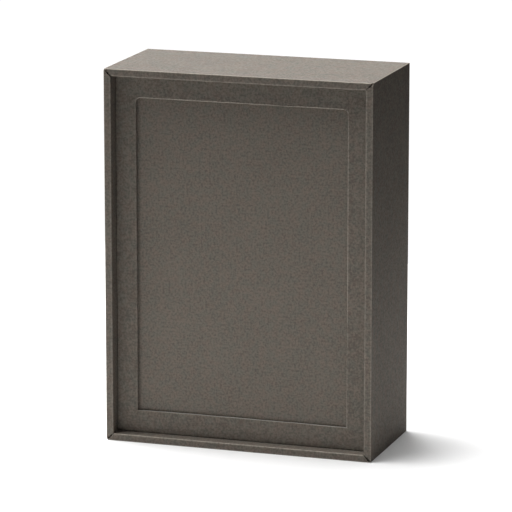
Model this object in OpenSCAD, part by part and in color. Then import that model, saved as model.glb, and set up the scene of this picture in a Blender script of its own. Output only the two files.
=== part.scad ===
// Archival box: a deep lid with a rimmed front panel, and the tray it slides over.
// Millimetres. The box stands on its short end: +Z up, front towards -Y, X across.
// The origin is at the middle of the footprint, on the surface the box stands on.

/* [Box] */
// Width of the lid, outside
box_w = 238; // [180:1:320]
// Height of the lid as it stands, outside
box_h = 325; // [240:1:420]
// Depth of the lid, rim to rear edge
box_d = 110; // [60:1:160]

/* [Board, cloth and paper] */
// Thickness of the greyboard walls and panel
board_t = 2; // [1.5:0.1:2.2]
// Thickness of the cover cloth
cloth_t = 0.4; // [0.2:0.05:0.5]
// Thickness of the lining paper
paper_t = 0.25; // [0.15:0.05:0.4]
// How far the cloth is turned in over an edge
turn_in = 15; // [8:1:20]

/* [Rim] */
// Width of the rim round the front panel
rim_w = 6.2; // [5.6:0.1:9]
// Depth of the front panel behind the rim
recess_d = 11.2; // [6:0.1:20]
// Opening between two rim strips at a mitred corner
mitre_gap = 0.5; // [0.1:0.05:1]
// Gap between the front panel's face and the cloth round its recess
panel_gap = 0.4; // [0.1:0.1:1]

/* [Window] */
// Distance from the side of the box to the window
window_side_border = 25; // [18:0.5:45]
// Distance from the end of the box to the window
window_end_border = 25.6; // [20:0.1:45]
// Radius of the window's two top corners
window_corner_r = 4; // [1:0.5:12]
// Rise of the window's free bottom edge at its middle
free_edge_bow = 0.4; // [0:0.1:1.5]
// Thickness of the board that has the window
window_board_t = 1.4; // [1:0.1:2.2]
// Thickness of the card pocket behind the free edge
pocket_t = 1.2; // [0.3:0.1:1.5]
// Depth of the card pocket below the free edge
pocket_depth = 10; // [4:0.5:10]
// Room for the card behind the window's sides and top
pocket_side = 2; // [0.5:0.5:6]

/* [Tray] */
// Gap between the tray and the lid
tray_clearance = 0.8; // [0.5:0.1:2]
// Gap below the tray where it rests on the lid's bottom wall
tray_rest_gap = 0.3; // [0.2:0.05:0.5]
// Distance from the lid's rear edge in to the tray's rear face
tray_inset = 0.8; // [0:0.1:3]
// Border of folded cloth that shows round the sheet on the tray's rear face
base_sheet_border = 3; // [1:0.5:8]

/* [Hidden] */

// The four sides, counted anticlockwise from the bottom as the front is looked at.
BOTTOM = 0;
RIGHT = 1;
TOP = 2;
LEFT = 3;

cloth_colour = [0.33, 0.31, 0.28];
board_colour = [0.62, 0.58, 0.52];
paper_colour = [0.85, 0.83, 0.78];

// What is cut away reaches past the solid by this much.
over = 1;

// Distance in from an outer face to the inside of a covered wall board
skin_in = cloth_t + board_t;

// Depths of the lid's front panel, layer by layer, from the front of the rim
window_board_y = recess_d + cloth_t;
pocket_y = window_board_y + window_board_t;
field_y = pocket_y + pocket_t;
panel_board_y = field_y + cloth_t;
panel_lining_y = panel_board_y + board_t;
panel_rear_y = panel_lining_y + paper_t;

// The front panel's rear layers reach the lid's wall boards on all four sides.
panel_w = box_w - 2 * skin_in;
panel_h = box_h - 2 * skin_in;

// Its face stops short of the recess, whose boards and cloth pass it and end on the pocket's card.
face_w = box_w - 2 * (rim_w + panel_gap);
face_h = box_h - 2 * (rim_w + panel_gap);

// The window in the front panel
window_w = box_w - 2 * window_side_border;
window_h = box_h - 2 * window_end_border;
arc_steps = 10;
bow_steps = 16;

// The tray
tray_w = box_w - 2 * (skin_in + cloth_t + tray_clearance);
tray_h = box_h - 2 * (skin_in + cloth_t + tray_clearance);
tray_front_y = panel_rear_y + tray_clearance;
tray_d = box_d - tray_inset - tray_front_y;
tray_drop = tray_clearance - tray_rest_gap;
base_board_y = tray_d - 2 * cloth_t - board_t;
lining_inset = skin_in + paper_t;

// ---- placing ----

// Puts a side drawn as the bottom one (outer face at z = 0, front at y = 0) where it belongs.
module on_side(side, w, h) {
    reach = (side == BOTTOM || side == TOP) ? h / 2 : w / 2;
    translate([0, 0, box_h / 2])
        rotate([0, -90 * side, 0])
            translate([0, 0, -reach])
                children();
}

// A strip with the profile of its 2D children, mitred at both ends along the corners' bisectors.
// In the profile, x is the depth from the front and y the distance in from the outer face.
module mitred_strip(side, w, h, thickness, depth) {
    length = (side == BOTTOM || side == TOP) ? w : h;
    on_side(side, w, h)
        intersection() {
            rotate([90, 0, 90])
                linear_extrude(height = length, center = true)
                    children();
            translate([0, depth + over, 0])
                rotate([90, 0, 0])
                    linear_extrude(height = depth + 2 * over)
                        polygon([
                            [-length / 2, 0],
                            [length / 2, 0],
                            [length / 2 - thickness, thickness],
                            [-length / 2 + thickness, thickness]
                        ]);
        }
}

// Everything of the lid is drawn with its rim's front plane at y = 0, then moved here.
module in_lid() {
    translate([0, -box_d / 2, 0])
        children();
}

// The tray is drawn with its mouth at y = 0. It rests on the lid's bottom wall.
module in_tray() {
    translate([0, -box_d / 2 + tray_front_y, -tray_drop])
        children();
}

// A flat plate across the box, centred on its face, with its front at depth y.
module plate(w, h, y, thickness) {
    translate([-w / 2, y, box_h / 2 - h / 2])
        cube([w, thickness, h]);
}

// ---- the lid's sides ----

module lid_wall(side) {
    color(board_colour)
        in_lid()
            mitred_strip(side, box_w, box_h, skin_in, box_d)
                translate([cloth_t + board_t, cloth_t])
                    square([box_d - 2 * cloth_t - board_t, board_t]);
}

module lid_rim(side) {
    color(board_colour)
        in_lid()
            difference() {
                mitred_strip(side, box_w, box_h, rim_w, box_d)
                    translate([cloth_t, cloth_t])
                        square([board_t, rim_w - 2 * cloth_t]);
                mitre_gaps();
            }
}

module lid_recess(side) {
    color(board_colour)
        in_lid()
            mitred_strip(side, box_w, box_h, rim_w, box_d)
                translate([cloth_t + board_t, rim_w - cloth_t - board_t])
                    square([pocket_y - cloth_t - board_t, board_t]);
}

// One strip of cloth: the recess face, the rim, the outer face, the rear edge and its turn-in.
module lid_cover_profile() {
    translate([0, rim_w - cloth_t])
        square([pocket_y, cloth_t]);
    square([cloth_t, rim_w]);
    square([box_d, cloth_t]);
    translate([box_d - cloth_t, 0])
        square([cloth_t, skin_in + cloth_t]);
    translate([box_d - turn_in, skin_in])
        square([turn_in, cloth_t]);
}

module lid_cover(side) {
    color(cloth_colour)
        in_lid()
            difference() {
                mitred_strip(side, box_w, box_h, rim_w, box_d)
                    lid_cover_profile();
                mitre_gaps();
            }
}

module lid_lining(side) {
    color(paper_colour)
        in_lid()
            mitred_strip(side, box_w, box_h, skin_in + paper_t, box_d)
                translate([panel_rear_y, skin_in])
                    square([box_d - turn_in - panel_rear_y, paper_t]);
}

// The open mitres at the rim's four corners, as deep as the rim strips.
module mitre_gaps() {
    reach = rim_w * sqrt(2) + 2 * over;
    for (x = [-1, 1], z = [-1, 1])
        translate([x * box_w / 2, 0, box_h / 2 + z * box_h / 2])
            rotate([0, x * z > 0 ? 45 : -45, 0])
                translate([-mitre_gap / 2, -over, z > 0 ? over - reach : -over])
                    cube([mitre_gap, over + cloth_t + board_t, reach]);
}

// ---- the lid's front panel ----

function arc(x, z, r, from) =
    [for (i = [0:arc_steps]) let (a = from + 90 * i / arc_steps) [x + r * cos(a), z + r * sin(a)]];

// The window's outline, with its sides and top moved out by grow and its foot lowered by drop.
// The foot is the free edge. It rises to free_edge_bow at its middle.
module window_outline(grow = 0, drop = 0) {
    half_w = window_w / 2 + grow;
    top = box_h / 2 + window_h / 2 + grow;
    foot = box_h / 2 - window_h / 2 - drop;
    r = window_corner_r + grow;
    polygon(concat(
        [for (i = [0:bow_steps])
            let (s = 2 * i / bow_steps - 1)
                [s * half_w, foot + free_edge_bow * (1 - s * s)]],
        arc(half_w - r, top - r, r, 0),
        arc(-half_w + r, top - r, r, 90)
    ));
}

// The same outline as a solid that reaches from depth y0 to depth y1.
module window_hole(y0, y1, grow = 0, drop = 0) {
    translate([0, y1, 0])
        rotate([90, 0, 0])
            linear_extrude(height = y1 - y0)
                window_outline(grow, drop);
}

module lid_panel_board() {
    color(board_colour)
        in_lid()
            plate(panel_w, panel_h, panel_board_y, board_t);
}

module lid_field_cloth() {
    color(cloth_colour)
        in_lid()
            plate(panel_w, panel_h, field_y, cloth_t);
}

module lid_pocket_spacer() {
    color(board_colour)
        in_lid()
            difference() {
                plate(panel_w, panel_h, pocket_y, pocket_t);
                window_hole(pocket_y - over, field_y + over, cloth_t + pocket_side, pocket_depth);
            }
}

module lid_window_board() {
    color(board_colour)
        in_lid()
            difference() {
                plate(face_w - 2 * cloth_t, face_h - 2 * cloth_t, window_board_y, window_board_t);
                window_hole(window_board_y - over, pocket_y + over, cloth_t);
            }
}

// The cloth covers the board's face and its outer edges, and is turned in over the board's edge at
// the window's sides and top. The window's free edge is left bare.
module lid_window_cloth() {
    color(cloth_colour)
        in_lid()
            difference() {
                union() {
                    difference() {
                        plate(face_w, face_h, recess_d, pocket_y - recess_d);
                        plate(
                            face_w - 2 * cloth_t, face_h - 2 * cloth_t,
                            window_board_y, window_board_t + over
                        );
                    }
                    window_hole(recess_d, pocket_y, cloth_t);
                }
                window_hole(recess_d - over, pocket_y + over);
            }
}

module lid_lining_panel() {
    color(paper_colour)
        in_lid()
            plate(panel_w, panel_h, panel_lining_y, paper_t);
}

// ---- the tray ----

module tray_wall(side) {
    color(board_colour)
        in_tray()
            mitred_strip(side, tray_w, tray_h, skin_in, tray_d)
                translate([cloth_t, cloth_t])
                    square([tray_d - 3 * cloth_t, board_t]);
}

// One strip of cloth: the turn-in, the mouth, the outer face and the fold over the rear edge.
module tray_cover_profile() {
    translate([0, skin_in])
        square([turn_in, cloth_t]);
    square([cloth_t, skin_in + cloth_t]);
    square([tray_d - cloth_t, cloth_t]);
    translate([tray_d - 2 * cloth_t, 0])
        square([cloth_t, turn_in]);
}

module tray_cover(side) {
    color(cloth_colour)
        in_tray()
            mitred_strip(side, tray_w, tray_h, turn_in, tray_d)
                tray_cover_profile();
}

module tray_lining(side) {
    color(paper_colour)
        in_tray()
            mitred_strip(side, tray_w, tray_h, lining_inset, tray_d)
                translate([turn_in, skin_in])
                    square([base_board_y - turn_in, paper_t]);
}

module tray_base_board() {
    color(board_colour)
        in_tray()
            plate(tray_w - 2 * skin_in, tray_h - 2 * skin_in, base_board_y, board_t);
}

module tray_base_cover() {
    color(cloth_colour)
        in_tray()
            plate(
                tray_w - 2 * base_sheet_border, tray_h - 2 * base_sheet_border,
                tray_d - cloth_t, cloth_t
            );
}

module tray_lining_base() {
    color(paper_colour)
        in_tray()
            plate(
                tray_w - 2 * lining_inset, tray_h - 2 * lining_inset,
                base_board_y - paper_t, paper_t
            );
}

lid_wall(BOTTOM);  // lid_wall_bottom
lid_wall(RIGHT);  // lid_wall_right
lid_wall(TOP);  // lid_wall_top
lid_wall(LEFT);  // lid_wall_left
lid_rim(BOTTOM);  // lid_rim_bottom
lid_rim(RIGHT);  // lid_rim_right
lid_rim(TOP);  // lid_rim_top
lid_rim(LEFT);  // lid_rim_left
lid_recess(BOTTOM);  // lid_recess_bottom
lid_recess(RIGHT);  // lid_recess_right
lid_recess(TOP);  // lid_recess_top
lid_recess(LEFT);  // lid_recess_left
lid_panel_board();
lid_field_cloth();
lid_pocket_spacer();
lid_window_board();
lid_window_cloth();
lid_cover(BOTTOM);  // lid_cover_bottom
lid_cover(RIGHT);  // lid_cover_right
lid_cover(TOP);  // lid_cover_top
lid_cover(LEFT);  // lid_cover_left
lid_lining(BOTTOM);  // lid_lining_bottom
lid_lining(RIGHT);  // lid_lining_right
lid_lining(TOP);  // lid_lining_top
lid_lining(LEFT);  // lid_lining_left
lid_lining_panel();
tray_wall(BOTTOM);  // tray_wall_bottom
tray_wall(RIGHT);  // tray_wall_right
tray_wall(TOP);  // tray_wall_top
tray_wall(LEFT);  // tray_wall_left
tray_cover(BOTTOM);  // tray_cover_bottom
tray_cover(RIGHT);  // tray_cover_right
tray_cover(TOP);  // tray_cover_top
tray_cover(LEFT);  // tray_cover_left
tray_lining(BOTTOM);  // tray_lining_bottom
tray_lining(RIGHT);  // tray_lining_right
tray_lining(TOP);  // tray_lining_top
tray_lining(LEFT);  // tray_lining_left
tray_base_board();
tray_base_cover();
tray_lining_base();
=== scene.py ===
"""Looks of the archival box: the cloth, board and paper built round the CAD frame, and the studio.

Lengths are in metres, in the frame's own axes: +Z up, the front towards -Y, X across.
"""
import math
from collections import namedtuple

import bmesh
import bpy
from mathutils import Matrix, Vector, noise


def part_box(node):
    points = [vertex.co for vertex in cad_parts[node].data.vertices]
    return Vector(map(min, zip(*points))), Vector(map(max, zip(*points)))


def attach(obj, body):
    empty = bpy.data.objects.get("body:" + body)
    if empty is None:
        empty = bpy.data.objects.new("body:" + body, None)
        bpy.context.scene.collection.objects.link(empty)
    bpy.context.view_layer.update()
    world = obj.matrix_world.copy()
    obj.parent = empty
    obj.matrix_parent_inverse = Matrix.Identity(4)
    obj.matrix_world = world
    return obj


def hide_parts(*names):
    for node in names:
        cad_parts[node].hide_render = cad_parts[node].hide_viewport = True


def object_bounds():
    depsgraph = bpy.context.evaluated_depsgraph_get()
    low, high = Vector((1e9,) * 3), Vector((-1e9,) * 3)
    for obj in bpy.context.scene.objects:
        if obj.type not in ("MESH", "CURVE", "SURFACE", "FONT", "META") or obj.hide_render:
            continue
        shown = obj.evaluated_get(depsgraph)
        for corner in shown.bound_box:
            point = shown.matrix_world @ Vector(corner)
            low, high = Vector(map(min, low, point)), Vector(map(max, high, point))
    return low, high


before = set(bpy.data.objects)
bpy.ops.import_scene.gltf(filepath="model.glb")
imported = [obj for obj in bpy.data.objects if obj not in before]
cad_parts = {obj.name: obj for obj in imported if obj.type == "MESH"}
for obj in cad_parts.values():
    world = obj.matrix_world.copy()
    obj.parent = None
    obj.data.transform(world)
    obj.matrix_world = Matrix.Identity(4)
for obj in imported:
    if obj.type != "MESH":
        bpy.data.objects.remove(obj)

MM = 0.001
X, Y, Z = 0, 1, 2
REAR = Vector((0, 1, 0))

# ---- sizes, read from the frame ----

cad_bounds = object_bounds()


def low(node, axis):
    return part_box(node)[0][axis]


def high(node, axis):
    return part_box(node)[1][axis]


cloth_t = high("lid_field_cloth", Y) - low("lid_field_cloth", Y)
board_t = high("lid_panel_board", Y) - low("lid_panel_board", Y)
skin = cloth_t + board_t
rim_width = high("lid_rim_bottom", Z) + cloth_t - low("lid_cover_bottom", Z)
recess_reach = low("lid_pocket_spacer", Y) - low("lid_cover_top", Y)
panel_face_y = low("lid_window_cloth", Y)
turn_in = high("lid_cover_top", Y) - high("lid_lining_top", Y)

# The window is not a box in the frame, so its outline repeats the CAD source's own measures.
WINDOW_SIDE_BORDER = 25 * MM
WINDOW_END_BORDER = 25.6 * MM
WINDOW_CORNER_RADIUS = 4 * MM
FREE_EDGE_BOW = 0.4 * MM
# How far the free edge strays from that bow: a slow wave and a fine ripple, each so high and with
# so many waves to the metre. Both die out this near the window's lower corners.
EDGE_WAVE, EDGE_WAVE_RATE = 0.16 * MM, 38
EDGE_RIPPLE, EDGE_RIPPLE_RATE = 0.07 * MM, 170
EDGE_STRAY_FADE = 6 * MM

window_half_w = high("lid_cover_right", X) - WINDOW_SIDE_BORDER
window_half_h = (high("lid_cover_top", Z) - low("lid_cover_bottom", Z)) / 2 - WINDOW_END_BORDER

# ---- how the cloth lies ----

FOLD_RADIUS = 0.5 * MM
LIP_RADIUS = 0.6 * MM
INNER_FOLD_RADIUS = 0.5 * MM
WINDOW_LIP_RADIUS = 0.7 * MM
PANEL_EDGE_RADIUS = 0.6 * MM
ARC_STEPS = 6
ROW_SPACING = 9 * MM
# Extra rows this far from a fold, where its wear and painted highlight fade and a mitre closes
SHOULDERS = (0.4 * MM, 1 * MM, 2 * MM, 3.2 * MM)
# How pale the crests of each side's folds are painted, part wear and part painted highlight, higher
# on the sides that face the light: on the box's outside, the rim's inner lip, the window
FOLD_WEAR_AND_HIGHLIGHT = {"bottom": 1.0, "right": 1.0, "top": 2.2, "left": 0.8}
LIP_WEAR_AND_HIGHLIGHT = {"bottom": 1.5, "right": 0.5, "top": 1.0, "left": 0.6}
WINDOW_WEAR_AND_HIGHLIGHT = {"right": 1.0, "top": 1.5, "left": 0.25}
# Wear and painted highlight where the cloth starts to bend, and wear round the panel's outer edges
BEND_WEAR_AND_HIGHLIGHT = 0.3
PANEL_EDGE_WEAR = 0.2
# The share of a crest's wear and painted highlight that reaches the ends of its fold
CREST_SHARE = 0.45

# How much a cut edge is softened, and how far in from it the cloth is worn pale
CUT_EDGE_DROP = 0.12 * MM
CUT_EDGE_WEAR = 0.8 * MM
# A glued-down sheet rises and falls by this much, less near its edges, with so many waves to the
# metre across and up. The last rate sets apart sheets at different depths.
SHEET_RISE = 0.03 * MM
SHEET_RISE_FADE = 12 * MM
SHEET_RISE_RATES = (21, 17, 90)
# Its rows: so far from each edge, and so far apart between
SHEET_SHOULDERS = (0, 0.12 * MM, 0.4 * MM, 1.1 * MM)
SHEET_ROW_SPACING = 18 * MM

# The open mitres at the rim's corners: width at the outer corner and at the inner one
MITRE_GAPS = {
    ("top", "left"): (2.2 * MM, 1.5 * MM),
    ("right", "top"): (2.6 * MM, 0.1 * MM),
    ("left", "bottom"): (1.6 * MM, 1.4 * MM),
    ("bottom", "right"): (2.3 * MM, 0.8 * MM),
}
# How far back from the front a mitre closes
MITRE_FADE = 2.8 * MM
# The cloth at an open mitre is rolled over this radius and turned down into it, with rows at these
# depths. On the box's outer faces, where the wall boards start, it reaches only this share of them.
MITRE_EDGE_RADIUS = 0.3 * MM
MITRE_FLAPS = (1 * MM, 4.4 * MM)
SIDE_FLAP = 0.35
# The width from which a mitre's edges are rolled in full
FULLY_OPEN = 0.3 * MM
# Faces that meet at more than this angle, in degrees, meet in a sharp edge.
HARD_ANGLE = 50

# ---- the four sides, anticlockwise from the bottom as the front is looked at ----

SIDES = ("bottom", "right", "top", "left")
ALONG = {
    "bottom": Vector((1, 0, 0)), "right": Vector((0, 0, 1)),
    "top": Vector((-1, 0, 0)), "left": Vector((0, 0, -1)),
}
INWARD = {
    "bottom": Vector((0, 0, 1)), "right": Vector((-1, 0, 0)),
    "top": Vector((0, 0, -1)), "left": Vector((1, 0, 0)),
}


class Shell:
    """The lid or the tray, as the box that its four cover strips fill."""

    def __init__(self, part):
        self.part = part
        covers = [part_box(f"{part}_cover_{side}") for side in SIDES]
        self.low = Vector([min(box[0][axis] for box in covers) for axis in (X, Y, Z)])
        self.high = Vector([max(box[1][axis] for box in covers) for axis in (X, Y, Z)])
        self.size = self.high - self.low
        self.depth = self.size.y

    def length(self, side):
        return abs(self.size.dot(ALONG[side]))

    def place(self, side, along, depth, inset):
        """The point so far along a side from its middle, behind the front and in from its face."""
        middle = (self.low + self.high) / 2
        middle.y = self.low.y
        half_across = abs(self.size.dot(INWARD[side])) / 2
        return middle + ALONG[side] * along + INWARD[side] * (inset - half_across) + REAR * depth

    def rounded(self, point):
        """A point on the sharp box moved onto the rounded one, and the outward direction there."""
        core = Vector([
            min(max(point[axis], self.low[axis] + FOLD_RADIUS), self.high[axis] - FOLD_RADIUS)
            for axis in (X, Y, Z)
        ])
        outward = (point - core).normalized()
        return core + outward * FOLD_RADIUS, outward


# ---- meshes ----

def make_piece(name, parts, material, body):
    """A piece from closed surfaces, each (points, faces, wear and painted highlight), riding on a
    body.
    """
    mesh = bpy.data.meshes.new(name)
    shape = bmesh.new()
    wear_and_highlight_layer = shape.verts.layers.float.new("wear")
    for points, faces, wear in parts:
        verts = [shape.verts.new(point) for point in points]
        for vert, value in zip(verts, wear):
            vert[wear_and_highlight_layer] = value
        for face in faces:
            shape.faces.new([verts[index] for index in face])
    bmesh.ops.remove_doubles(shape, verts=shape.verts, dist=1e-6)
    bmesh.ops.dissolve_degenerate(shape, edges=shape.edges, dist=1e-7)
    bmesh.ops.recalc_face_normals(shape, faces=shape.faces)
    for face in shape.faces:
        face.smooth = True
    shape.to_mesh(mesh)
    shape.free()
    mesh.set_sharp_from_angle(angle=math.radians(HARD_ANGLE))
    mesh.materials.append(material)
    piece = bpy.data.objects.new(name, mesh)
    bpy.context.scene.collection.objects.link(piece)
    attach(piece, body)
    return piece


def thin_sheet(front, back, wear):
    """A closed surface from two equal grids of points, and the wear and painted highlight at each of
    them.
    """
    rows, columns = len(front), len(front[0])
    points = [point for grid in (front, back) for row in grid for point in row]
    wear_and_highlight_values = [value for row in wear for value in row] * 2
    behind = rows * columns

    def index(row, column):
        return row * columns + column

    faces = []
    for row in range(rows - 1):
        for column in range(columns - 1):
            quad = [
                index(row, column), index(row, column + 1),
                index(row + 1, column + 1), index(row + 1, column),
            ]
            faces.append(quad)
            faces.append([behind + corner for corner in reversed(quad)])
    border = (
        [index(0, column) for column in range(columns)]
        + [index(row, columns - 1) for row in range(1, rows)]
        + [index(rows - 1, column) for column in range(columns - 2, -1, -1)]
        + [index(row, 0) for row in range(rows - 2, 0, -1)]
    )
    for start, end in zip(border, border[1:] + border[:1]):
        faces.append([end, start, behind + start, behind + end])
    return points, faces, wear_and_highlight_values


def ring_solid(rings):
    """A closed frame from (loop, y, wear and painted highlight) rings, joined in turn and the last to
    the first.
    """
    count = len(rings[0][0])
    points = [Vector((point.x, y, point.y)) for loop, y, _ in rings for point in loop]
    wear_and_highlight_values = [wear for _, _, wear in rings for _ in range(count)]
    faces = []
    for ring in range(len(rings)):
        following = (ring + 1) % len(rings)
        for start in range(count):
            end = (start + 1) % count
            faces.append([
                ring * count + start, ring * count + end,
                following * count + end, following * count + start,
            ])
    return points, faces, wear_and_highlight_values


# ---- folded cover strips ----

# A row of a strip: its place behind the front and in from the side's face, the direction its
# surface faces in those two terms, and whether it lies on the outside of the box.
Row = namedtuple("Row", "depth inset out_depth out_inset on_box wear")


def neighbours(side):
    """The sides before and after this one."""
    index = SIDES.index(side)
    return SIDES[index - 1], SIDES[(index + 1) % len(SIDES)]


def stretch_positions(length, start_radius, end_radius):
    """Distances along a straight stretch between two folds, close together near each."""
    clear = length - start_radius - end_radius
    near = [shoulder for shoulder in SHOULDERS if shoulder < clear / 2]
    inner = near[-1] if near else 0
    steps = max(1, math.ceil((clear - 2 * inner) / ROW_SPACING))
    middle = [inner + (clear - 2 * inner) * step / steps for step in range(steps + 1)]
    offsets = near[:-1] + middle + [clear - shoulder for shoulder in reversed(near[:-1])]
    return [start_radius + offset for offset in offsets]


def fade_wear_and_highlight(distance):
    """Wear and painted highlight at this distance from the end of a fold."""
    return max(0, BEND_WEAR_AND_HIGHLIGHT * (1 - distance / SHOULDERS[1]))


def folded_profile(corners, side):
    """Rows down the visible face of a folded sheet. A corner is (depth, inset, radius, on_box)."""
    rows = []
    for start, end in zip(corners, corners[1:]):
        start_at, end_at = Vector(start[:2]), Vector(end[:2])
        length = (end_at - start_at).length
        along = (end_at - start_at) / length
        out = Vector((along.y, -along.x))
        on_box = start[3] or end[3]
        for distance in stretch_positions(length, start[2], end[2]):
            at = start_at + along * distance
            from_fold = min(
                distance - start[2] if start[2] else length,
                length - end[2] - distance if end[2] else length,
            )
            rows.append(Row(at.x, at.y, out.x, out.y, on_box, fade_wear_and_highlight(from_fold)))
        if not end[2]:
            continue
        beyond = Vector((-along.y, along.x))
        for step in range(1, 2 * ARC_STEPS):
            angle = math.pi / 4 * step / ARC_STEPS
            # A crest is painted pale, more on the sides that face the light: part wear, part painted
            # highlight
            crest = FOLD_WEAR_AND_HIGHLIGHT[side] if end[3] else LIP_WEAR_AND_HIGHLIGHT[side]
            wear = BEND_WEAR_AND_HIGHLIGHT + (crest - BEND_WEAR_AND_HIGHLIGHT) * math.sin(2 * angle)
            if end[3]:
                reach = end[2] * (1 - math.tan(min(angle, math.pi / 2 - angle)))
                at = end_at + (along * -reach if step <= ARC_STEPS else beyond * reach)
                rows.append(Row(at.x, at.y, 0, 0, True, wear))
            else:
                centre = end_at - along * end[2] + beyond * end[2]
                out = along * math.sin(angle) - beyond * math.cos(angle)
                at = centre + out * end[2]
                rows.append(Row(at.x, at.y, out.x, out.y, False, wear))
    return rows


def mitre_opening(gap, row):
    """Width of the open mitre at a row of the cover, and how fully it is open."""
    outer, inner = gap
    at_front = outer + (inner - outer) * min(row.inset / rim_width, 1)
    fade = max(0, 1 - row.depth / MITRE_FADE)
    width = at_front * fade * fade * (3 - 2 * fade)
    return width, min(width / FULLY_OPEN, 1)


def end_columns(shell, side, end, row, gap):
    """(point, outward, wear and painted highlight) from the middle of a side towards one of its ends,
    +1 or -1.
    """
    width, openness = mitre_opening(gap, row)
    edge_radius = MITRE_EDGE_RADIUS * openness
    limit = shell.length(side) / 2 - row.inset - width / math.sqrt(2) - edge_radius

    def surface(reach):
        point = shell.place(side, end * reach, row.depth, row.inset)
        if row.on_box:
            return shell.rounded(point)
        return point, INWARD[side] * row.out_inset + REAR * row.out_depth

    columns = []
    for shoulder in reversed(SHOULDERS):
        point, outward = surface(limit - FOLD_RADIUS - shoulder)
        columns.append((point, outward, row.wear))
    for step in range(ARC_STEPS + 1):
        reach = FOLD_RADIUS * (1 - math.tan(math.pi / 4 * step / ARC_STEPS))
        point, outward = surface(limit - reach)
        # The crest of a long edge is painted pale: part wear, part painted highlight
        on_long_edge = row.on_box and row.depth > FOLD_RADIUS
        rounding = CREST_SHARE + (1 - CREST_SHARE) * step / ARC_STEPS
        corner_wear_and_highlight = FOLD_WEAR_AND_HIGHLIGHT[side] * rounding if on_long_edge else 0
        columns.append((point, outward, max(row.wear, corner_wear_and_highlight)))
    toward_end = ALONG[side] * end
    tangent = (toward_end - outward * toward_end.dot(outward)).normalized()
    for step in range(1, ARC_STEPS + 1):
        angle = math.pi / 2 * step / ARC_STEPS
        rolled = point + (tangent * math.sin(angle) - outward * (1 - math.cos(angle))) * edge_radius
        turned = angle * openness
        facing = outward * math.cos(turned) + tangent * math.sin(turned)
        # The rolled edge of an open mitre is painted pale: part wear, part painted highlight
        columns.append((rolled, facing, max(row.wear, math.sin(2 * angle) * openness)))
    for flap in MITRE_FLAPS:
        reach = flap * openness * max(SIDE_FLAP, -outward.y)
        columns.append((rolled - outward * reach, facing, 0))
    return columns


def cover_strip(shell, side, corners, gaps, material):
    """One side's cloth, folded round the board at the front and the rear."""
    previous, following = neighbours(side)
    front, back, wear = [], [], []
    for row in folded_profile(corners, side):
        start = end_columns(shell, side, -1, row, gaps.get((previous, side), (0, 0)))
        end = end_columns(shell, side, 1, row, gaps.get((side, following), (0, 0)))
        line = start[::-1] + end
        front.append([point for point, _, _ in line])
        back.append([point - outward * cloth_t for point, outward, _ in line])
        wear.append([value for _, _, value in line])
    name = f"{shell.part}_cover_{side}_cloth"
    piece = make_piece(
        name, [thin_sheet(front, back, wear)], material, shell.part)
    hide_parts(f"{shell.part}_cover_{side}")
    shell.length(side)


def lid_covers(lid, material):
    corners = [
        (recess_reach, rim_width, 0, False),
        (0, rim_width, LIP_RADIUS, False),
        (0, 0, FOLD_RADIUS, True),
        (lid.depth, 0, FOLD_RADIUS, True),
        (lid.depth, skin + cloth_t, INNER_FOLD_RADIUS, False),
        (lid.depth - turn_in, skin + cloth_t, 0, False),
    ]
    for side in SIDES:
        cover_strip(lid, side, corners, MITRE_GAPS, material)


def tray_covers(tray, material):
    corners = [
        (turn_in, skin + cloth_t, 0, False),
        (0, skin + cloth_t, INNER_FOLD_RADIUS, False),
        (0, 0, FOLD_RADIUS, True),
        (tray.depth, 0, FOLD_RADIUS, True),
        (tray.depth, turn_in, 0, False),
    ]
    for side in SIDES:
        cover_strip(tray, side, corners, {}, material)


# ---- the rim's boards ----

def rim_board(lid, side, material):
    """The greyboard strip inside one side of the rim, cut back where its mitres stand open."""
    previous, following = neighbours(side)
    cloth_and_edge = (MITRE_EDGE_RADIUS + cloth_t) * math.sqrt(2)
    cut_back = {
        -1: max(MITRE_GAPS[previous, side]) / math.sqrt(2) + cloth_and_edge,
        1: max(MITRE_GAPS[side, following]) / math.sqrt(2) + cloth_and_edge,
    }
    near, far = cloth_t, cloth_t + board_t
    outer, inner = cloth_t, rim_width - cloth_t
    profile = [(near, outer), (near, inner), (far, inner), (far, outer)]
    points = [
        lid.place(side, end * (lid.length(side) / 2 - inset - cut_back[end]), depth, inset)
        for end in (-1, 1) for depth, inset in profile
    ]
    faces = [[0, 1, 2, 3], [7, 6, 5, 4]]
    faces += [[i, (i + 1) % 4, 4 + (i + 1) % 4, 4 + i] for i in range(4)]
    piece = make_piece(
        f"lid_rim_{side}_board", [(points, faces, [0] * 8)], material, "lid")
    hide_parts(f"lid_rim_{side}")


# ---- the front panel ----

def free_edge_height(across):
    """Height of the window's free bottom edge, which bows up a little and isn't quite straight."""
    from_corner = window_half_w - min(abs(across), window_half_w)
    bow = FREE_EDGE_BOW * (1 - min(1, abs(across) / window_half_w) ** 2)
    wave = EDGE_WAVE * noise.noise(Vector((across * EDGE_WAVE_RATE, 0.3, 0.7)))
    ripple = EDGE_RIPPLE * noise.noise(Vector((across * EDGE_RIPPLE_RATE, 1.9, 0.2)))
    return WINDOW_END_BORDER + bow + (wave + ripple) * min(1, from_corner / EDGE_STRAY_FADE)


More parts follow.
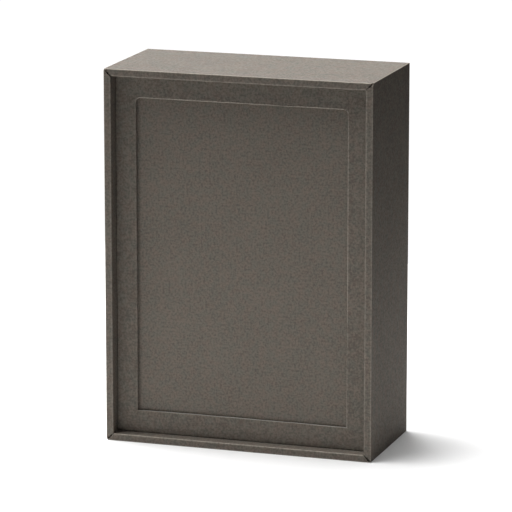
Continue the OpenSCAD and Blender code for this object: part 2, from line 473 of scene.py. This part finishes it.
def window_sides():
    """The folded sides of the window, up the right, over the top and down the left: (point, away)."""
    foot = WINDOW_END_BORDER
    top = high("lid_cover_top", Z) - WINDOW_END_BORDER
    radius = WINDOW_CORNER_RADIUS
    side_steps, top_steps, corner_steps = 28, 20, 10
    heights = [foot + (top - radius - foot) * step / side_steps for step in range(side_steps)]
    line = [(Vector((window_half_w, height)), Vector((1, 0))) for height in heights]
    for corner, first in ((1, 0), (-1, math.pi / 2)):
        centre = Vector((corner * (window_half_w - radius), top - radius))
        for step in range(corner_steps + 1):
            angle = first + math.pi / 2 * step / corner_steps
            away = Vector((math.cos(angle), math.sin(angle)))
            line.append((centre + away * radius, away))
        if corner == 1:
            for step in range(1, top_steps):
                across = (window_half_w - radius) * (1 - 2 * step / top_steps)
                line.append((Vector((across, top)), Vector((0, 1))))
    line += [(Vector((-window_half_w, height)), Vector((-1, 0))) for height in reversed(heights)]
    return line


def window_loop(grow, drop=0):
    """The window's whole outline, grown at the sides and top and dropped at its free edge."""
    sides = [point + away * grow for point, away in window_sides()]
    sides[0].y = WINDOW_END_BORDER - drop
    sides[-1].y = WINDOW_END_BORDER - drop
    reach = sides[0].x
    edge_steps = 96
    edge = []
    for step in range(1, edge_steps):
        across = reach * (2 * step / edge_steps - 1)
        edge.append(Vector((across, free_edge_height(across) - drop)))
    return sides + edge


def panel_border_loop(node, inset=0):
    """The window's outline carried out to the edges of a panel layer, or to this far in from them."""
    lower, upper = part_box(node)
    middle = (lower.z + upper.z) / 2
    half_w = upper.x - inset
    half_h = (upper.z - lower.z) / 2 - inset
    border = []
    for point in window_loop(0):
        across = point.x * (half_w / window_half_w)
        up = (point.y - middle) * (half_h / window_half_h)
        pull = max(abs(across) / half_w, abs(up) / half_h)
        border.append(Vector((across / pull, middle + up / pull)))
    return border


def window_cloth(material):
    """The panel's cloth, turned over the board's outer edges and in at the window's sides and top."""
    node = "lid_window_cloth"
    front_y, back_y = panel_face_y, panel_face_y + cloth_t
    end_y = low("lid_pocket_spacer", Y)
    turned_over = end_y - front_y
    lip = WINDOW_LIP_RADIUS
    inner = window_loop(lip)
    # The window's flat edge next to its lip carries the bend's wear and painted highlight
    rings = [
        (inner, front_y, BEND_WEAR_AND_HIGHLIGHT),
        (window_loop(lip + SHOULDERS[0], SHOULDERS[0]), front_y, BEND_WEAR_AND_HIGHLIGHT / 2),
        (window_loop(lip + SHOULDERS[1], SHOULDERS[1]), front_y, 0),
    ]
    for step in range(ARC_STEPS + 1):
        angle = math.pi / 2 * step / ARC_STEPS
        border = panel_border_loop(node, PANEL_EDGE_RADIUS * (1 - math.sin(angle)))
        behind = PANEL_EDGE_RADIUS * (1 - math.cos(angle))
        rings.append((border, front_y + behind, PANEL_EDGE_WEAR))
    rings += [
        (panel_border_loop(node), end_y, 0), (panel_border_loop(node, cloth_t), end_y, 0),
        (panel_border_loop(node, cloth_t), back_y, 0), (inner, back_y, BEND_WEAR_AND_HIGHLIGHT),
    ]
    flat_part = ring_solid(rings)

    front, back, wear = [], [], []
    turn_steps = (0.45, 0.7, 1.0)
    for point, away in window_sides():
        outward_flat = Vector((-away.x, 0, -away.y))
        # The window's lips are painted pale, most at the top and least on the left: part wear, part
        # painted highlight
        side_wear_and_highlight = WINDOW_WEAR_AND_HIGHLIGHT["right" if away.x > 0 else "left"]
        crest = side_wear_and_highlight * away.x ** 2 + WINDOW_WEAR_AND_HIGHLIGHT["top"] * away.y ** 2
        front_row, back_row, wear_and_highlight_row = [], [], []
        for step in range(ARC_STEPS + 1):
            angle = math.pi / 2 * step / ARC_STEPS
            across = point + away * lip * (1 - math.sin(angle))
            at = Vector((across.x, front_y + lip * (1 - math.cos(angle)), across.y))
            outward = -REAR * math.cos(angle) + outward_flat * math.sin(angle)
            front_row.append(at)
            back_row.append(at - outward * cloth_t)
            wear_and_highlight_row.append(crest * (CREST_SHARE + (1 - CREST_SHARE) * math.sin(2 * angle)))
        for share in turn_steps:
            at = Vector((point.x, front_y + turned_over * share, point.y))
            front_row.append(at)
            back_row.append(at - outward_flat * cloth_t)
            wear_and_highlight_row.append(0)
        front.append(front_row)
        back.append(back_row)
        wear.append(wear_and_highlight_row)
    turned_part = thin_sheet(front, back, wear)

    piece = make_piece(
        "lid_window_cloth_sheet", [flat_part, turned_part], material, "lid")
    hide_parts(node)


def window_board(material):
    """The board behind the panel's cloth, whose raw edge shows along the window's foot."""
    node = "lid_window_board"
    front_y, back_y = low(node, Y), high(node, Y)
    soften = CUT_EDGE_DROP
    inner = window_loop(cloth_t)
    front_inner = window_loop(cloth_t + soften, soften / 2)
    back_inner = window_loop(cloth_t + soften, soften)
    border = panel_border_loop(node)
    rings = [
        (border, front_y, 0), (front_inner, front_y, 0.6),
        (inner, front_y + soften, 1), (inner, (front_y + back_y) / 2, 1),
        (inner, back_y - soften, 1), (back_inner, back_y, 0.6),
        (border, back_y, 0),
    ]
    piece = make_piece(
        "lid_window_board_card", [ring_solid(rings)], material, "lid")
    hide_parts(node)


def flat_cloth(name, node, material, body, faces_rear):
    """A glued-down sheet in place of a CAD plate, with softened cut edges."""
    lower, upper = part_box(node)
    thickness = upper.y - lower.y
    face_y = upper.y if faces_rear else lower.y
    outward = REAR if faces_rear else -REAR
    across_rate, up_rate, depth_rate = SHEET_RISE_RATES

    def positions(start, end):
        near = SHEET_SHOULDERS
        clear = end - start
        steps = math.ceil(clear / SHEET_ROW_SPACING)
        inner = [near[-1] + (clear - 2 * near[-1]) * step / steps for step in range(1, steps)]
        return [start + offset for offset in (*near, *inner, *(clear - at for at in reversed(near)))]

    front, back, wear = [], [], []
    for z in positions(lower.z, upper.z):
        front_row, back_row, wear_and_highlight_row = [], [], []
        for x in positions(lower.x, upper.x):
            to_edge = min(x - lower.x, upper.x - x, z - lower.z, upper.z - z)
            drop = CUT_EDGE_DROP if to_edge < CUT_EDGE_DROP / 2 else 0
            wave = noise.noise(Vector((x * across_rate, z * up_rate, face_y * depth_rate)))
            level = SHEET_RISE * wave * min(1, to_edge / SHEET_RISE_FADE)
            front_row.append(Vector((x, face_y, z)) + outward * (level - drop))
            back_row.append(Vector((x, face_y, z)) - outward * thickness)
            wear_and_highlight_row.append(max(0, 1 - to_edge / CUT_EDGE_WEAR))
        front.append(front_row)
        back.append(back_row)
        wear.append(wear_and_highlight_row)
    piece = make_piece(name, [thin_sheet(front, back, wear)], material, body)
    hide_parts(node)


# ---- materials ----

class Nodes:
    """A small helper that adds and links the nodes of one material."""

    def __init__(self, name):
        self.material = bpy.data.materials.new(name)
        self.material.use_nodes = True
        self.tree = self.material.node_tree
        self.shader = self.tree.nodes["Principled BSDF"]
        self.place = self.add("ShaderNodeTexCoord").outputs["Object"]

    def add(self, kind, **settings):
        node = self.tree.nodes.new(kind)
        for name, value in settings.items():
            setattr(node, name, value)
        return node

    def feed(self, node, name, value):
        if isinstance(value, bpy.types.NodeSocket):
            self.tree.links.new(value, node.inputs[name])
        else:
            node.inputs[name].default_value = value

    def noise(self, periods, detail=2.0, roughness=0.5):
        """Noise from 0 to 1 whose features are about this long, in metres, along X, Y and Z."""
        mapping = self.add("ShaderNodeMapping")
        self.feed(mapping, "Vector", self.place)
        mapping.inputs["Scale"].default_value = [1 / period for period in periods]
        texture = self.add("ShaderNodeTexNoise")
        self.feed(texture, "Vector", mapping.outputs["Vector"])
        self.feed(texture, "Scale", 1.0)
        self.feed(texture, "Detail", detail)
        self.feed(texture, "Roughness", roughness)
        return texture.outputs["Fac"]

    def even_noise(self, period, detail=2.0):
        """Noise whose features are about this long in every direction."""
        return self.noise((period, period, period), detail)

    def math(self, operation, a, b=0.0, c=0.0, clamp=False):
        node = self.add("ShaderNodeMath", operation=operation, use_clamp=clamp)
        for index, value in enumerate((a, b, c)):
            self.feed(node, index, value)
        return node.outputs[0]

    def spread(self, value, start, end, to_start=0.0, to_end=1.0):
        """The value with the range from start to end stretched to another, and held inside it."""
        node = self.add("ShaderNodeMapRange")
        for name, given in (
            ("Value", value), ("From Min", start), ("From Max", end),
            ("To Min", to_start), ("To Max", to_end),
        ):
            self.feed(node, name, given)
        return node.outputs[0]

    def mix(self, factor, first, second):
        node = self.add("ShaderNodeMix", data_type="RGBA")
        self.feed(node, 0, factor)
        self.feed(node, 6, (*first, 1) if isinstance(first, tuple) else first)
        self.feed(node, 7, (*second, 1) if isinstance(second, tuple) else second)
        return node.outputs[2]

    def bump(self, height, strength, distance):
        node = self.add("ShaderNodeBump")
        self.feed(node, "Strength", strength)
        self.feed(node, "Distance", distance)
        self.feed(node, "Height", height)
        self.feed(self.shader, "Normal", node.outputs["Normal"])

    # The mask of wear and painted highlight that each piece carries on its points
    def wear(self):
        return self.add("ShaderNodeAttribute", attribute_name="wear").outputs["Fac"]


CLOTH_DARK = (0.089, 0.078, 0.066)
CLOTH_LIGHT = (0.187, 0.165, 0.140)
CLOTH_BROWN = (0.166, 0.126, 0.102)
CLOTH_GREEN = (0.124, 0.122, 0.103)
# Fold crests and lips are mixed towards this pale tone: part wear, part painted highlight
CLOTH_WORN_AND_HIGHLIT = (0.360, 0.322, 0.273)
# The sheet at the back of the window is painted a little lighter than the rest: painted light, for
# the light it gets away from the recess walls' shade.
FIELD_PAINTED_LIGHTER = 0.22

BOARD_DARK = (0.27, 0.245, 0.21)
BOARD_LIGHT = (0.4, 0.37, 0.32)
BOARD_SPECK = (0.12, 0.11, 0.1)
BOARD_WORN = (0.5, 0.49, 0.46)

PAPER_DARK = (0.585, 0.565, 0.5)
PAPER_LIGHT = (0.66, 0.64, 0.58)
PAPER_CLOUD = (0.6, 0.565, 0.48)


def cover_cloth(name, painted_lighter):
    """Dark taupe book linen: threads run along all three axes, so each face has a warp and a weft."""
    n = Nodes(name)
    long, fine = 5 * MM, 0.8 * MM
    threads = [
        n.noise((long, fine, fine)), n.noise((fine, long, fine)), n.noise((fine, fine, long)),
    ]
    weave = n.math("ADD", n.math("ADD", threads[0], threads[1]), threads[2])
    grain = n.even_noise(1.85 * MM, detail=1.0)
    cloud = n.even_noise(40 * MM, detail=3.0)
    tone = n.math("MULTIPLY_ADD", grain, 3.0, weave)
    tone = n.math("MULTIPLY_ADD", cloud, 0.6, tone)
    # A value above zero shifts the whole tone lighter: painted light
    tone = n.spread(tone, 2.7 - painted_lighter, 3.9 - painted_lighter)
    colour = n.mix(tone, CLOTH_DARK, CLOTH_LIGHT)
    hue = n.spread(n.even_noise(7 * MM, detail=3.0), 0.36, 0.64)
    tint = n.mix(hue, CLOTH_BROWN, CLOTH_GREEN)
    colour = n.mix(0.4, colour, tint)
    # Fold crests and lips are painted paler from the mask: part wear, part painted highlight
    worn_and_highlit = n.math("MULTIPLY", n.wear(), n.spread(grain, 0.3, 0.7, 0.4, 0.8), clamp=True)
    colour = n.mix(worn_and_highlit, colour, CLOTH_WORN_AND_HIGHLIT)
    n.feed(n.shader, "Base Color", colour)
    n.feed(n.shader, "Roughness", n.spread(weave, 1.1, 1.9, 0.84, 0.7))
    n.shader.inputs["Specular IOR Level"].default_value = 0.12
    n.bump(weave, 0.6, 0.25 * MM)
    return n.material


def greyboard():
    """Pressed grey-brown board with fibre specks, paler where a cut edge has been handled."""
    n = Nodes("greyboard")
    fibre = n.noise((2.2 * MM, 0.5 * MM, 0.7 * MM), detail=4.0, roughness=0.65)
    speck = n.spread(n.even_noise(0.6 * MM, detail=1.0), 0.66, 0.72)
    colour = n.mix(n.spread(fibre, 0.3, 0.7), BOARD_DARK, BOARD_LIGHT)
    colour = n.mix(n.math("MULTIPLY", speck, 0.6), colour, BOARD_SPECK)
    colour = n.mix(n.math("MULTIPLY", n.wear(), 0.6, clamp=True), colour, BOARD_WORN)
    n.feed(n.shader, "Base Color", colour)
    n.feed(n.shader, "Roughness", n.spread(fibre, 0.3, 0.7, 0.95, 0.82))
    n.shader.inputs["Specular IOR Level"].default_value = 0.3
    n.bump(fibre, 0.4, 0.12 * MM)
    return n.material


def lining_paper():
    """Off-white laid paper with a faint fibre tooth and slight cloudiness."""
    n = Nodes("lining_paper")
    fibre = n.noise((1.4 * MM, 0.9 * MM, 0.5 * MM), detail=4.0, roughness=0.6)
    cloud = n.even_noise(26 * MM, detail=3.0)
    colour = n.mix(n.spread(fibre, 0.3, 0.7), PAPER_DARK, PAPER_LIGHT)
    colour = n.mix(n.spread(cloud, 0.35, 0.7, 0, 0.35), colour, PAPER_CLOUD)
    n.feed(n.shader, "Base Color", colour)
    n.feed(n.shader, "Roughness", n.spread(fibre, 0.3, 0.7, 0.9, 0.78))
    n.shader.inputs["Specular IOR Level"].default_value = 0.3
    n.bump(fibre, 0.25, 0.08 * MM)
    return n.material


# ---- the studio ----

FLOOR_ALBEDO = 0.9
# The floor's tone varies by this share of itself.
FLOOR_TOOTH = 0.01
# How far the floor sheet reaches left, right, forward and back of the box's middle
FLOOR_LEFT, FLOOR_RIGHT = -0.7, 0.4
FLOOR_FRONT, FLOOR_BACK = -0.9, 0.7
# The even light that reaches the box, and the white that the camera sees past the floor
AMBIENT = 0.01
BACKDROP = 1.05

CAMERA_AZIMUTH = 18.294
CAMERA_ELEVATION = 12.427
CAMERA_DISTANCE = 3.2366
CAMERA_TARGET = Vector((-1.14, 0, 159.26)) * MM
# Focal length and sensor width, both in millimetres
CAMERA_LENS = 264.86
CAMERA_SENSOR = 36
# How far the camera sees
CAMERA_REACH = 60

# Softboxes: azimuth and elevation, strength, and degrees across
LIGHTS = {
    "above_left": (-90, 63, 4.5, 54),
    "above": (0, 88, 0.3, 30),
    "above_behind": (180, 75, 1.0, 50),
    "behind_left": (-150, 14, 1.7, 26),
    "low_left": (-90, 14, 0.8, 60),
    "low_front_left": (-45, 14, 0.1, 40),
}


def direction(azimuth, elevation):
    """Unit vector towards a place in the studio: azimuth 0 is in front, 90 to the right."""
    a, e = math.radians(azimuth), math.radians(elevation)
    return Vector((math.sin(a) * math.cos(e), -math.cos(a) * math.cos(e), math.sin(e)))


def studio_camera():
    camera = bpy.data.objects.new("camera", bpy.data.cameras.new("camera"))
    bpy.context.scene.collection.objects.link(camera)
    camera.data.lens = CAMERA_LENS
    camera.data.sensor_width = CAMERA_SENSOR
    back = direction(CAMERA_AZIMUTH, CAMERA_ELEVATION)
    camera.location = CAMERA_TARGET + back * CAMERA_DISTANCE
    camera.rotation_euler = (-back).to_track_quat("-Z", "Y").to_euler()
    camera.data.clip_end = CAMERA_REACH
    bpy.context.scene.camera = camera


def soft_light(name, azimuth, elevation, strength, spread):
    """A distant softbox: an even disc of light, spread degrees across."""
    lamp = bpy.data.lights.new(name, "SUN")
    lamp.energy = strength
    lamp.angle = math.radians(spread)
    light = bpy.data.objects.new(name, lamp)
    bpy.context.scene.collection.objects.link(light)
    light.rotation_euler = direction(azimuth, elevation).to_track_quat("Z", "Y").to_euler()


def studio_world():
    """White where the camera looks past the floor, and a weaker even light on everything."""
    world = bpy.data.worlds.new("studio")
    bpy.context.scene.world = world
    world.use_nodes = True
    tree = world.node_tree
    background = tree.nodes["Background"]
    background.inputs["Color"].default_value = (1, 1, 1, 1)
    seen = tree.nodes.new("ShaderNodeLightPath")
    level = tree.nodes.new("ShaderNodeMapRange")
    level.inputs["To Min"].default_value = AMBIENT
    level.inputs["To Max"].default_value = BACKDROP
    tree.links.new(seen.outputs["Is Camera Ray"], level.inputs["Value"])
    tree.links.new(level.outputs[0], background.inputs["Strength"])


def floor_material():
    """Matt white paper with a faint tooth."""
    n = Nodes("studio_floor")
    tooth = n.even_noise(3 * MM)
    darkest = FLOOR_ALBEDO * (1 - FLOOR_TOOTH)
    lightest = FLOOR_ALBEDO * (1 + FLOOR_TOOTH)
    n.feed(n.shader, "Base Color", n.mix(tooth, (darkest,) * 3, (lightest,) * 3))
    n.shader.inputs["Roughness"].default_value = 1.0
    n.shader.inputs["Specular IOR Level"].default_value = 0.0
    return n.material


def studio_floor():
    mesh = bpy.data.meshes.new("floor")
    level = cad_bounds[0].z
    corners = [
        (FLOOR_LEFT, FLOOR_FRONT, level), (FLOOR_RIGHT, FLOOR_FRONT, level),
        (FLOOR_RIGHT, FLOOR_BACK, level), (FLOOR_LEFT, FLOOR_BACK, level),
    ]
    mesh.from_pydata(corners, [], [(0, 1, 2, 3)])
    mesh.materials.append(floor_material())
    floor = bpy.data.objects.new("floor", mesh)
    bpy.context.scene.collection.objects.link(floor)


def studio():
    studio_camera()
    studio_floor()
    studio_world()
    for name, setting in LIGHTS.items():
        soft_light(name, *setting)
    bpy.context.scene.view_settings.view_transform = "Standard"


# ---- the box ----

def finish_cad_nodes(board, paper):
    """Gives each CAD node that still shows its board or paper."""
    for name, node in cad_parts.items():
        if node.hide_render:
            continue
        material = paper if "lining" in name else board
        node.data.materials.clear()
        node.data.materials.append(material)


cloth = cover_cloth("cover_cloth", 0)
# The field sheet's cloth is a copy painted lighter: painted light
field_cloth_painted_lighter = cover_cloth("field_cloth_painted_lighter", FIELD_PAINTED_LIGHTER)
board = greyboard()
paper = lining_paper()
lid = Shell("lid")
tray = Shell("tray")
lid_covers(lid, cloth)
tray_covers(tray, cloth)
for side in SIDES:
    rim_board(lid, side, board)
window_cloth(cloth)
window_board(board)
flat_cloth(
    "lid_field_cloth_sheet", "lid_field_cloth", field_cloth_painted_lighter, "lid", False)
flat_cloth("tray_base_cloth_sheet", "tray_base_cover", cloth, "tray", True)
finish_cad_nodes(board, paper)
studio()
